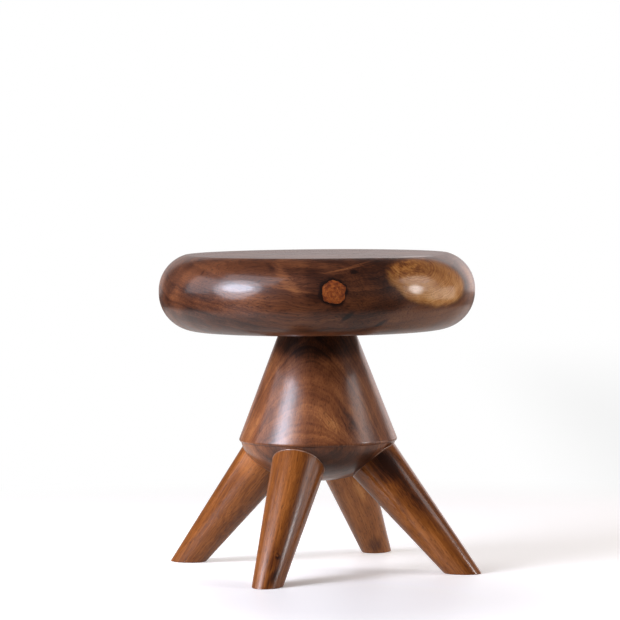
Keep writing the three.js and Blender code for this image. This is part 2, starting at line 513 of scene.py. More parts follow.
    def calmed(self, tone: Node, patch: Patch, weight: float, level: float) -> Node:
        """Draws the tone inside a patch towards one level, so that its figure is quieter."""
        share = add(self.tree, "Math", self.inside(patch), weight, operation="MULTIPLY")
        return add(self.tree, "Mix", share, tone, level)

    def finish(self, colour: Node, gloss: Gloss, pored: Node | float = 1.0) -> bpy.types.Material:
        """Closes the surface: pores, the soft sheen of the wood and a thin coat over it.

        Args:
            colour: Colour of the wood.
            gloss: How the surface is finished.
            pored: How strongly the pores show, from 0 to 1.

        Returns:
            The finished material.
        """
        tree = self.tree
        shown = add(tree, "Math", self.pores, self.board.pore_share, operation="MULTIPLY")
        shown = add(tree, "Math", shown, pored, operation="MULTIPLY")
        grained = add(tree, "Mix", shown, colour, linear(self.PORE_COLOUR), data_type="RGBA")
        wear = add(tree, "TexNoise", self.place, 1 / self.WEAR_WIDTH, 3.0)
        roughness = add(tree, "MapRange", wear, *self.SOFT_RANGE,
                        gloss.sheen - self.WEAR, gloss.sheen + self.WEAR, **EASED)
        waves = add(tree, "TexNoise", self.place, 1 / gloss.wave_width, 1.0)
        height = self.weighted(self.streaks(self.FINE_RIPPLE, 2.0), [
            (self.fibres, self.FIBRE_RELIEF), (self.pores, self.PORE_RELIEF),
            (waves, gloss.waves / gloss.relief)])
        bump = add(tree, "Bump", named={
            "Strength": self.BUMP_STRENGTH, "Distance": gloss.relief * MM, "Height": height})
        surface = add(tree, "BsdfPrincipled", named={
            "Base Color": grained, "Roughness": roughness, "IOR": self.IOR, "Normal": bump,
            "Specular IOR Level": gloss.sheen_level, "Coat Weight": gloss.coat,
            "Coat Roughness": gloss.coat_roughness, "Coat Normal": bump})
        add(tree, "OutputMaterial", surface)
        return self.material


# Sub-assemblies


class Turned:
    """A piece turned about the Z axis, whose side can be marked."""

    def edge_radius(self, height: float) -> float:
        """Gives the radius of the side at a height."""
        raise NotImplementedError

    def spot(self, azimuth: float, height: float, half_width: float, half_height: float,
             shift: float = 0.0, edge: float = 0.5, tilt: float = 0.0, **rest: float) -> Patch:
        """Places a patch on the side.

        Args:
            azimuth: Azimuth of its centre.
            height: Height of its centre, in millimetres.
            half_width: Half width along the side, in millimetres.
            half_height: Half height, in millimetres.
            shift: What it adds to the wood's tone.
            edge: Softness of its border as a share of its size.
            tilt: Turn against the clock as seen from outside, in degrees.
            rest: Other fields of the patch.

        Returns:
            The patch.
        """
        radius = self.edge_radius(height * MM) / MM
        angle = math.radians(azimuth)
        centre = (radius * math.cos(angle), radius * math.sin(angle), height)
        return Patch(centre, (tilt, 0.0, azimuth), half_width, half_height, shift, edge, **rest)


@dataclass
class Seat(Turned):
    """The thick round seat with its loose knot.

    The upper edge is crisp, and the side is a full round below it.
    """

    low: Vector
    high: Vector
    knot_low: Vector
    knot_high: Vector
    edge_inset: float = 0.036
    upper_round: float = 0.0505
    lower_round: float = 0.0515
    edge_ease: float = 0.0007
    mortise_radius: float = 0.0263
    mortise_depth: float = 0.0517
    knot_azimuth: float = -84.2
    knot_depth: float = 0.042
    knot_gap: float = 0.0003
    knot_lumps: float = 0.009
    lump_width: float = 0.0075
    # The lumps swell the knot by so much, and its core stands out by so much to be cut flush.
    lump_swell: float = 0.00075
    knot_proud: float = 0.0028
    knot_sides: int = 64
    ease_steps: int = 3
    round_steps: int = 26
    sides: int = 256
    pieces: list[Object] = field(default_factory=list)

    @property
    def radius(self) -> float:
        """Greatest radius."""
        return (self.high.x - self.low.x) / 2

    @property
    def upper_turn(self) -> float:
        """Angle in radians through which the upper round runs, from the widest place up."""
        return math.acos((self.upper_round - self.edge_inset) / self.upper_round)

    @property
    def drop(self) -> float:
        """How far the upper round's centre lies below the top."""
        return self.upper_round * math.sin(self.upper_turn)

    def edge_radius(self, height: float) -> float:
        """Gives the radius of the side at a height."""
        above = height - (self.high.z - self.drop)
        below = self.low.z + self.lower_round - height
        for off, bend in ((above, self.upper_round), (below, self.lower_round)):
            if off > 0:
                return self.radius - bend + math.sqrt(bend**2 - off**2)
        return self.radius

    def outline(self) -> list[Point]:
        """Gives the seat's half outline, with the mortise for the pedestal's tenon."""
        under_centre = (self.radius - self.lower_round, self.low.z + self.lower_round)
        over_centre = (self.radius - self.upper_round, self.high.z - self.drop)
        under = arc(under_centre, self.lower_round, self.lower_round, -QUARTER, 0, self.round_steps)
        over = arc(over_centre, self.upper_round, self.upper_round, 0, self.upper_turn, self.round_steps)
        mortise_top = self.low.z + self.mortise_depth
        mortise = [(0, mortise_top), (self.mortise_radius, mortise_top), (self.mortise_radius, self.low.z)]
        return [*mortise, *under, *over, (0, self.high.z)]

    def knot_core(self, name: str, grow: float) -> Object:
        """Makes the knot's lumpy round body, lying along its branch.

        Args:
            name: Name of the body.
            grow: How much larger than the knot it is, all round.

        Returns:
            The body, from inside the seat to just outside it.
        """
        radius = (self.knot_high.z - self.knot_low.z) / 2 - self.lump_swell + grow
        inner = self.radius - self.knot_depth - grow
        outer = self.radius + self.knot_proud
        core = lathe(name, [(0, inner), (radius, inner), (radius, outer), (0, outer)], self.knot_sides)
        clouds = bpy.data.textures.new(name, "CLOUDS")
        clouds.noise_scale = self.lump_width
        lumps = core.modifiers.new("lumps", "DISPLACE")
        lumps.texture = clouds
        lumps.strength = self.knot_lumps
        lumps.texture_coords = "LOCAL"
        only(core)
        bpy.ops.object.modifier_apply(modifier=lumps.name)
        height = (self.knot_high.z + self.knot_low.z) / 2
        return place(core, (0, QUARTER, math.radians(self.knot_azimuth)), (0, 0, height))

    def build(self) -> None:
        """Turns the seat, bores it for the knot and cuts the knot flush with its side."""
        seat = lathe("seat_turned", self.outline(), self.sides)
        top, crisp = self.high.z - MERGE_DISTANCE, self.radius - self.edge_inset
        ease_edges(seat, lambda corner: corner.z > top and abs(corner.xy.length - crisp) < MM,
                   self.edge_ease, self.ease_steps)
        knot = twin(seat, "seat_knot_body")
        cut(seat, self.knot_core("knot_bore", self.knot_gap), Cut.AWAY)
        cut(knot, self.knot_core("knot_core", 0.0), Cut.SHARED)
        for piece, node, slot in ((seat, "seat", "seat_wood"), (knot, "seat_knot", "knot_wood")):
            smooth(piece)
            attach(piece, "root")
            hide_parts(node)
        self.pieces = [seat, knot]

    def dress(self) -> None:
        """Gives the seat its dark, patchy slab and the knot its mottled end grain."""
        for piece, material in zip(self.pieces, (self.slab(), self.knot_wood())):
            piece.data.materials.append(material)

    def slab(self) -> bpy.types.Material:
        """Makes the seat's wood: a wide slab with dark heart, orange bands and sapwood."""
        board = Board(
            tones=("1f0e08", "3a1d10", "552f1b", "704226", "8c5832", "a87142"),
            pith=(-40.0, 40.0, -200.0), turn=(0.0, 4.0, -8.0),
            band=14.0, line=2.6, stray=(15.0, 95.0), level=0.39,
            band_share=0.15, line_share=0.11, fibre_share=0.15, mottle_share=0.28,
            fibre=(40.0, 1.6), pore_share=0.6)
        wood = Wood("oiled_hardwood_slab", board)
        tree, spot = wood.tree, self.spot
        shifts = [
            # Darker and lighter patches of the heartwood, and a darker band low on the left where the
            # round turns under.
            spot(-138, 416, 110, 13, -0.03, 0.7),
            spot(-160, 398, 34, 22, -0.08, 0.7),
            spot(-126, 388, 60, 14, -0.06, 0.8),
            spot(-100.8, 402, 6.5, 32, 0.19, 0.6, 42),
            spot(-107.5, 421, 9, 4, -0.2, 0.9, -30, grit=6),
            # Darker low on the left, where the round side turns under the seat.
            spot(-134, 359, 70, 15, -0.17, 0.8),
            spot(-117, 347, 30, 11, -0.22, 0.8),
            spot(-68, 416, 64, 16, -0.16, 0.7),
            spot(-90.5, 402, 9, 26, -0.1, 0.8, 14),
            spot(-84.2, 385, 30, 23, -0.08, 0.7),
            spot(-66, 388, 36, 26, -0.14, 0.8),
            spot(-112, 378, 40, 24, 0.06, 0.8),
            # The ring round the knot, then dark dashes and checks.
            spot(-84.4, 386.6, 18.5, 18, -0.4, 0.14, ragged=0.32, grit=9),
            spot(-76.3, 412.8, 5, 2.6, -0.34, 0.6, grit=4),
            spot(-79.1, 354.5, 2.6, 9, -0.4, 0.5, -52, grit=5),
            spot(-65.4, 344.9, 2.2, 9, -0.4, 0.5, -60, grit=5),
            spot(-137.2, 411, 2.1, 3.3, -0.4, 0.5, -12, grit=4),
            # Pale threads above the knot, and lighter below and beside the sapwood.
            spot(-78.5, 417, 25, 0.9, 0.34, 0.6, 10, grit=5, ragged=0.5),
            spot(-73.5, 422, 15, 0.8, 0.3, 0.6, 12, grit=5, ragged=0.5),
            spot(-82.5, 414, 22, 4, 0.1, 0.8, 10, grit=8),
            spot(-40, 350, 90, 22, 0.38, 0.7),
            spot(-12, 385, 30, 40, 0.36, 0.6),
        ]
        tone = wood.shifted(wood.plain_tone(), shifts)
        tone = wood.calmed(tone, spot(-35, 352, 100, 26, edge=0.7), 0.6, 0.5)
        tone = wood.calmed(tone, spot(-132, 412, 80, 14, edge=0.7), 0.55, 0.42)
        sap = spot(-44, 399, 76, 33, edge=0.14, tilt=-7, depth=50, ragged=0.12, grit=24)
        reach = wood.distance(sap)
        # A dark line follows the sapwood's lower border.
        rim = add(tree, "MapRange", reach, 1.0, 1.25, -0.3, 0.0, **EASED)
        below = wood.inside(spot(-26, 380, 60, 34, edge=0.6))
        lined = add(tree, "Math", below, rim, tone, operation="MULTIPLY_ADD")
        heart = add(tree, "ValToRGB", lined, tones=board.tones)
        # Heartwood shows through at the sapwood's left end, and the pores are faint in the rest.
        shade, sap_pores = -0.6, 0.4
        left = wood.inside(spot(-70, 376, 40, 34, edge=0.8))
        kept = add(tree, "Math", left, shade, wood.inside(sap), operation="MULTIPLY_ADD", use_clamp=True)
        colour = add(tree, "Mix", kept, heart, self.sapwood(wood, reach), data_type="RGBA")
        pored = add(tree, "Math", kept, sap_pores - 1, 1.0, operation="MULTIPLY_ADD")
        return wood.finish(colour, Gloss(), pored)

    def sapwood(self, wood: Wood, reach: Node) -> Node:
        """Colours the pale sapwood: growth lines that follow its border, and burl above.

        Args:
            wood: The seat's wood.
            reach: Distance from the sapwood's centre as a share of its size.

        Returns:
            The sapwood's colour.
        """
        tree = wood.tree
        curl_width, cloud_width, line_count = 6.5, 16.0, 44.0
        arcs = wood.distance(self.spot(-50, 420, 110, 66, depth=90, ragged=0.07, grit=22))
        lines = add(tree, "TexNoise", arcs, line_count, 3.0, noise_dimensions="1D")
        lined = add(tree, "MapRange", lines, *wood.SOFT_RANGE, 0.42, 0.6, **EASED)
        rim = add(tree, "MapRange", reach, 0.7, 1.05, 0.0, -0.16, **EASED)
        burl = wood.inside(self.spot(-56, 417, 48, 13, edge=0.8))
        curls = add(tree, "TexNoise", wood.place, 1 / curl_width, 3.5)
        curls = add(tree, "MapRange", curls, 0.4, 0.6, **EASED)
        curly = add(tree, "Math", burl, curls, operation="MULTIPLY")
        upper = wood.inside(self.spot(-45, 420, 90, 26, edge=0.9))
        clouds = add(tree, "TexNoise", wood.place, 1 / cloud_width, 3.0)
        clouds = add(tree, "MapRange", clouds, *wood.SOFT_RANGE, **EASED)
        tone = wood.weighted(lined, [(rim, 1.0), (curly, -0.3), (wood.fibres, 0.2), (burl, 0.08),
                                     (upper, -0.29), (clouds, 0.2)])
        return add(tree, "ValToRGB", tone, tones=("522a0e", "874e22", "b27437", "cf985a", "e4b27c"))

    def knot_wood(self) -> bpy.types.Material:
        """Makes the knot's end grain: orange, crumbly and lightly cracked."""
        board = Board(tones=("2e1408", "64301a", "82411d", "985326", "aa6432"),
                      pith=(22.0, -214.0, 387.0), turn=(0.0, 0.0, -84.2), band=5.0, line=1.6,
                      stray=(3.0, 8.0), level=0.3, mottle_share=0.1)
        crumb_width, crumb_share = 4.5, 0.35
        wood = Wood("knot_end_grain", board)
        crumbs = add(wood.tree, "TexNoise", wood.place, 1 / crumb_width, 3.0)
        crumbs = add(wood.tree, "MapRange", crumbs, 0.35, 0.6, **EASED)
        tone = wood.weighted(wood.plain_tone(), [(crumbs, crumb_share)])
        colour = add(wood.tree, "ValToRGB", tone, tones=board.tones)
        return wood.finish(colour, Gloss(coat=0.3, relief=0.15))


@dataclass
class Pedestal(Turned):
    """The turned cone with its rounded rim and bowl, bored for four legs."""

    low: Vector
    high: Vector
    seat_underside: float
    fit_gap: float = 0.0003
    neck_radius: float = 0.05075
    rim_height: float = 0.178
    rim_upper_round: float = 0.005
    rim_lower_round: float = 0.003
    rim_tuck: float = 60.0
    rim_upper_steps: int = 10
    rim_lower_steps: int = 8
    bowl_radius: float = 0.1055
    bowl_equator: float = 0.1815
    bowl_steps: int = 40
    tenon_radius: float = 0.026
    wedge_width: float = 0.036
    wedge_length: float = 0.034
    wedge_ends: Point = (0.002, 0.007)
    sides: int = 224
    pieces: list[Object] = field(default_factory=list)

    @property
    def rim_radius(self) -> float:
        """Greatest radius."""
        return (self.high.x - self.low.x) / 2

    def edge_radius(self, height: float) -> float:
        """Gives the radius of the cone or the bowl at a height."""
        if height > self.rim_height:
            share = (height - self.rim_height) / (self.seat_underside - self.rim_height)
            return self.rim_radius + share * (self.neck_radius - self.rim_radius)
        drop = (self.bowl_equator - height) / (self.bowl_equator - self.low.z)
        return self.bowl_radius * math.sqrt(1 - drop**2)

    def outline(self) -> list[Point]:
        """Gives the half outline: bowl, rim, cone, neck and tenon."""
        neck_top = self.seat_underside - self.fit_gap
        depth = self.bowl_equator - self.low.z
        tuck = math.radians(self.rim_tuck)
        crease = self.rim_height - self.rim_lower_round * math.sin(tuck)
        bowl_end = -math.asin((self.bowl_equator - crease) / depth)
        bowl = arc((0, self.bowl_equator), self.bowl_radius, depth, -QUARTER, bowl_end, self.bowl_steps)
        across = self.rim_radius - self.rim_upper_round - self.neck_radius
        down = neck_top - self.rim_height
        slope = math.atan2(across, down) + math.asin(self.rim_upper_round / math.hypot(across, down))
        lower, upper = (
            arc((self.rim_radius - bend, self.rim_height), bend, bend, start, end, steps)
            for bend, start, end, steps in ((self.rim_lower_round, -tuck, 0, self.rim_lower_steps),
                                            (self.rim_upper_round, 0, slope, self.rim_upper_steps)))
        neck = [(self.neck_radius, neck_top), (self.tenon_radius, neck_top)]
        tenon = [(self.tenon_radius, self.high.z), (0, self.high.z)]
        return [*bowl, *lower, *upper[1:], *neck, *tenon]

    def build(self, sockets: list[Object]) -> None:
        """Turns the pedestal, slots its tenon and cuts the legs' seats and mortises.

        Args:
            sockets: The solids to cut away, one for each leg.
        """
        pedestal = lathe("pedestal_turned", self.outline(), self.sides)
        cut_slot(pedestal, self.wedge_width, self.wedge_length, self.wedge_ends, self.fit_gap, self.high.z)
        for socket in sockets:
            cut(pedestal, socket, Cut.AWAY)
        smooth(pedestal)
        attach(pedestal, "root")
        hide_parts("pedestal")
        self.pieces = [pedestal]

    def dress(self) -> None:
        """Gives the pedestal its wood: upright grain whose rings arch across the front, with painted shade
        that darkens the neck under the seat and the bowl between the legs.
        """
        board = Board(
            tones=("28130a", "452412", "66391f", "804c2b", "9a6338", "ae784a"),
            pith=(60.0, 330.0, 0.0), turn=(0.0, -88.0, 0.0),
            band=8.0, line=1.7, stray=(6.0, 60.0), level=0.51, band_share=0.17, line_share=0.13,
            fibre_share=0.14, mottle_share=0.3, fibre=(60.0, 1.8), pore_share=0.4)
        wood = Wood("oiled_hardwood_arched", board)
        spot = self.spot
        shifts = [
            # The neck and its two corners darkened as painted shade under the seat, the cone's streaks and
            # patches, and the bowl darkened as painted shade between the legs.
            spot(-92, 309, 62, 17, -0.42, 0.6, depth=64, ragged=0.12),
            spot(-114, 297, 12, 12, -0.1, 0.9),
            spot(-66, 298, 12, 9, -0.12, 0.9),
            spot(-82, 218, 24, 38, 0.15, 0.7),
            spot(-118, 212, 16, 46, -0.15, 0.8, -20),
            # A lighter patch in the cone's left highlight: it lifts a dark blot in the grain and partly
            # paints the highlight wider.
            spot(-105, 244, 9, 20, 0.26, 0.9),
            spot(-62, 209, 4.5, 30, -0.22, 0.7, 29, grit=9),
            # Painted shade: the bowl darkened where the legs shadow it.
            spot(-86, 150, 92, 22, -0.34),
        ]
        tone = wood.shifted(wood.plain_tone(), shifts)
        # The bowl's figure is drawn towards a dark level, as part of its painted shade.
        tone = wood.calmed(tone, spot(-86, 150, 96, 24), 0.6, 0.14)
        near = wood.inside(spot(-76, 206, 24, 15, edge=0.6))
        arcs = wood.distance(spot(-104, 182, 60, 60, depth=60, ragged=0.05, grit=14))
        arch_count = 38.0
        arches = add(wood.tree, "TexNoise", arcs, arch_count, noise_dimensions="1D")
        ripples = add(wood.tree, "Math", arches, near, operation="MULTIPLY")
        tone = wood.weighted(tone, [(near, 0.2), (ripples, -0.55)])
        colour = add(wood.tree, "ValToRGB", tone, tones=board.tones)
        gloss = Gloss(coat_roughness=0.18, waves=0.16, wave_width=24.0)
        self.pieces[0].data.materials.append(wood.finish(colour, gloss))


@dataclass
class Legs:
    """Four tapered legs, turned alike and driven into the bowl."""

    fit_gap: float = 0.0003
    splay: float = 40.2
    foot_radius: float = 0.0198
    shoulder_radius: float = 0.036
    shoulder_distance: float = 0.19548
    tenon_radius: float = 0.019
    tenon_length: float = 0.052
    tenon_end_gap: float = 0.002
    wedge_width: float = 0.028
    wedge_length: float = 0.032
    wedge_ends: Point = (0.0015, 0.005)
    shoulder_ease: float = 0.0016
    shoulder_steps: int = 5
    sole_ease: float = 0.0014
    sole_steps: int = 3
    bead_radius: float = 0.0011
    bead_sides: int = 12
    socket_sides: int = 96
    sides: int = 128
    names: tuple[str, ...] = ("front", "right", "back", "left")
    legs: dict[str, Object] = field(default_factory=dict)
    beads: list[Object] = field(default_factory=list)

    @property
    def pieces(self) -> list[Object]:
        """The legs and their beads."""
        return [*self.legs.values(), *self.beads]

    @property
    def tilt(self) -> float:
        """Lean of a leg from the vertical, in radians."""
        return math.radians(self.splay)

    @property
    def taper(self) -> float:
        """How much a leg's radius grows over its length, as a share of that length."""
        return (self.shoulder_radius - self.foot_radius) / self.shoulder_distance

    @property
    def foot_circle(self) -> float:
        """Radius of the circle on which the legs' axes meet the floor."""
        return mount_point(f"sole_{self.names[0]}").length

    def azimuth(self, name: str) -> float:
        """Gives the azimuth of a leg in radians, from the middle of its sole."""
        sole = mount_point(f"sole_{name}")
        return math.atan2(sole.y, sole.x)

    def leaned(self, solid: Object) -> Object:
        """Leans a solid made about Z onto the axis of a leg at azimuth 0."""
        return place(solid, (0, -self.tilt, 0), (self.foot_circle, 0, 0))

    def socket(self, name: str) -> Object:
        """Makes the flat seat and blind mortise of one leg as a solid to cut away."""
        outside = self.shoulder_distance - self.shoulder_radius
        face = self.shoulder_distance + self.fit_gap
        end = self.shoulder_distance + self.tenon_length + self.tenon_end_gap
        flat_radius = self.shoulder_radius + self.fit_gap
        bore_radius = self.tenon_radius + self.fit_gap
        outline = [(0, outside), (flat_radius, outside), (flat_radius, face),
                   (bore_radius, face), (bore_radius, end), (0, end)]
        solid = self.leaned(lathe(f"socket_{name}", outline, self.socket_sides))
        return place(solid, (0, 0, self.azimuth(name)))

    def pattern_leg(self) -> Object:
        """Turns one leg with its slotted tenon, and saws and eases its sole."""
        below = -self.foot_radius * math.tan(self.tilt) - MM
        tip = self.shoulder_distance + self.tenon_length
        outline = [(0, below), (self.foot_radius + self.taper * below, below),
                   (self.shoulder_radius, self.shoulder_distance),
                   (self.tenon_radius, self.shoulder_distance), (self.tenon_radius, tip), (0, tip)]
        leg = lathe("leg_pattern", outline, self.sides)
        face, outer = self.shoulder_distance - MM, self.shoulder_radius - MM
        ease_edges(leg, lambda corner: corner.z > face and corner.xy.length > outer,
                   self.shoulder_ease, self.shoulder_steps)
        cut_slot(leg, self.wedge_width, self.wedge_length, self.wedge_ends, self.fit_gap, tip)
        self.leaned(leg)
        bpy.ops.object.mode_set(mode="EDIT")
        bpy.ops.mesh.select_all(action="SELECT")
        bpy.ops.mesh.bisect(plane_co=(0, 0, 0), plane_no=(0, 0, 1), use_fill=True, clear_inner=True)
        bpy.ops.object.mode_set(mode="OBJECT")
        ease_edges(leg, lambda corner: abs(corner.z) < MERGE_DISTANCE, self.sole_ease, self.sole_steps)
        return leg

    def bead(self) -> Object:
        """Makes the bead of finish that fills the seam round a leg's shoulder; its pale colour is a
        painted highlight along the seam.
        """
        bpy.ops.object.select_all(action="DESELECT")
        bpy.ops.mesh.primitive_torus_add(
            major_radius=self.shoulder_radius - self.shoulder_ease / 2, minor_radius=self.bead_radius,
            major_segments=self.sides, minor_segments=self.bead_sides,
            location=(0, 0, self.shoulder_distance))
        bpy.ops.object.transform_apply(location=True, rotation=False, scale=False)
        return self.leaned(bpy.context.object)

    def build(self) -> None:
        """Copies the pattern leg and its bead to their four places."""
        pattern, pattern_bead = self.pattern_leg(), self.bead()
        for name in self.names:
            turn = (0, 0, self.azimuth(name))
            bead = place(twin(pattern_bead, f"leg_{name}_seam_bead"), turn)
            leg = place(twin(pattern, f"leg_{name}_turned"), turn)
            for piece in (bead, leg):
                smooth(piece)
                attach(piece, "root")
            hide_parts(f"leg_{name}")
            self.beads.append(bead)
            self.legs[name] = leg
        for solid in (pattern, pattern_bead):
            bpy.data.objects.remove(solid)

    def lean(self, name: str) -> Matrix:
        """Gives the turn that brings Z onto a leg's axis and X to its upper side."""
        return Matrix.Rotation(self.azimuth(name), 3, "Z") @ Matrix.Rotation(-self.tilt, 3, "Y")

    def foot(self, name: str) -> Vector:
        """Gives the point in millimetres where a leg's axis meets the floor."""
        azimuth = self.azimuth(name)
        return Vector((math.cos(azimuth), math.sin(azimuth), 0)) * self.foot_circle / MM

    def spot(self, name: str, along: float, around: float, half_width: float, half_height: float,
             shift: float, edge: float, tilt: float = 0.0, **rest: float) -> Patch:
        """Places a patch on a leg.

        Args:
            name: The leg.
            along: Distance up its axis, in millimetres.
            around: Angle round its axis from its upper side, in degrees.
            half_width: Half width across the leg, in millimetres.
            half_height: Half length along it, in millimetres.
            shift: What it adds to the wood's tone.
            edge: Softness of its border as a share of its size.
            tilt: Turn against the clock as seen from outside, in degrees.
            rest: Other fields of the patch.

        Returns:
            The patch.
        """
        radius = self.foot_radius / MM + self.taper * along
        angle = math.radians(around)
        there = Vector((radius * math.cos(angle), radius * math.sin(angle), along))
        turn = (self.lean(name) @ Matrix.Rotation(angle, 3, "Z")
                @ Matrix.Rotation(math.radians(tilt), 3, "X")).to_euler()
        centre = self.foot(name) + self.lean(name) @ there
        return Patch(tuple(centre), tuple(map(math.degrees, turn)), half_width, half_height,
                     shift, edge, **rest)

    def marks(self) -> dict[str, list[Patch]]:
        """Lists the marks on each leg: streaks, stains, a painted shadow high on the right leg and, in
        front, one small knot.
        """
        spot = self.spot
        return {
            "front": [
                spot("front", 125, 10, 6, 75, 0.12, 0.6),
                spot("front", 110, 46, 8, 90, -0.18, 0.8),
                spot("front", 30, 24, 10, 22, -0.16, 0.8),
                spot("front", 6, 38, 4, 15, -0.2, 0.7, -16),
                spot("front", 36, 33, 3.2, 3.8, -0.26, 0.6, grit=4),
                spot("front", 37, 30, 1.6, 1.8, 0.4, 0.5, grit=4),
            ],
            "right": [
                # The upper part is dark wood and also a painted shadow cast by the pedestal's rim.
                spot("right", 180, -62, 17, 18, -0.36, 0.8, ragged=0.5),
                spot("right", 144, -48, 15, 56, -0.23, 0.9, ragged=0.3),
                spot("right", 100, -40, 12, 70, -0.13, 0.9, ragged=0.4),
                spot("right", 85, -108, 12, 75, 0.12, 0.6),
            ],
            "back": [
                spot("back", 146, -137, 5, 24, 0.38, 0.7, 8),
                spot("back", 33, -146, 9, 14, -0.3, 0.6),
            ],
            "left": [
                spot("left", 182, 80, 14, 14, 0.14, 0.6),
                spot("left", 70, 96, 8, 50, -0.08, 0.7),
            ],
        }

    def dress(self) -> None:
        """Gives each leg wood with streaks that follow its length, and the beads a pale colour that paints
        a highlight along each seam.
        """
        tones = ("2a1105", "542a0f", "764116", "915524", "a86932", "ba7d45")
        # Where the pith lies beside the leg, the wood's level and the coat's roughness.
        woods = {"front": ((40.0, -30.0), 0.43, 0.23), "right": ((-55.0, 25.0), 0.48, 0.15),
                 "back": ((60.0, 45.0), 0.59, 0.2), "left": ((-35.0, -60.0), 0.43, 0.22)}
        marks = self.marks()
        for name, leg in self.legs.items():
            side, level, roughness = woods[name]
            along = self.lean(name) @ Matrix.Rotation(-QUARTER, 3, "Y")
            pith = self.foot(name) + along @ Vector((0, *side))
            board = Board(tones, tuple(pith), tuple(map(math.degrees, along.to_euler())),
                          band=10.0, line=2.4, stray=(4.0, 90.0), level=level, band_share=0.11,
                          line_share=0.09, fibre_share=0.17, mottle_share=0.15, fibre=(90.0, 1.6),
                          pore_share=0.4)
            wood = Wood(f"oiled_hardwood_leg_{name}", board)
            tone = wood.shifted(wood.plain_tone(), marks[name])
            colour = add(wood.tree, "ValToRGB", tone, tones=tones)
            gloss = Gloss(sheen_level=0.08, coat_roughness=roughness, waves=0.09)
            leg.data.materials.append(wood.finish(colour, gloss))
        # The beads' pale colour paints a highlight along each seam; their clear coat adds a real
        # reflection.
        tones = ("6e4a36", "8c6650", "a8836c")
        bead_wood_painted_highlight = Wood("seam_bead_finish_painted_highlight", Board(tones, (0.0, 0.0, 300.0), (0.0, 0.0, 0.0)))
        colour = add(bead_wood_painted_highlight.tree, "ValToRGB", bead_wood_painted_highlight.plain_tone(), tones=tones)
        material = bead_wood_painted_highlight.finish(colour, Gloss(coat=1.0))
        for bead in self.beads:
            bead.data.materials.append(material)


@dataclass
class Wedges:
    """The five wedges that spread the tenons, hidden in the joints."""

    tenons: tuple[str, ...] = ("seat", "leg_front", "leg_right", "leg_back", "leg_left")

    def dress(self) -> None:
        """Gives every wedge plain, sawn, straight-grained wood."""
        board = Board(tones=("6b4426", "8a5f38", "a87b4c", "bd9160"), pith=(0.0, 60.0, 0.0),
                      turn=(0.0, -90.0, 0.0), band=5.0, line=1.4, stray=(2.0, 40.0))
        wood = Wood("sawn_wedge_wood", board)
        colour = add(wood.tree, "ValToRGB", wood.plain_tone(), tones=board.tones)
        material = wood.finish(colour, Gloss(sheen=0.6, coat=0.0, relief=0.1))
        for tenon in self.tenons:
            materials = frame["nodes"][f"{tenon}_tenon_wedge"].data.materials
            materials.clear()
            materials.append(material)


# The studio


@dataclass(frozen=True)
class Panel:
    """A soft light panel.

    Attributes:
        name: Name of the lamp.
        azimuth: Direction from the stool, to the right of the viewer, in degrees.
        elevation: Height of the direction above the floor, in degrees.
        distance: Distance from the stool's middle, in metres.
        width: Width in metres.
        height: Height in metres.
        glow: How bright the panel itself is, where paper white is 1.
        tint: Its colour.
        form: Its outline.
    """

    name: str
    azimuth: float
    elevation: float
    distance: float
    width: float
    height: float
    glow: float
    tint: str
    form: Form = Form.SQUARE

    @property
    def area(self) -> float:
        """Area of its face."""
        return self.width * self.height * (math.pi / 4 if self.form is Form.ROUND else 1.0)


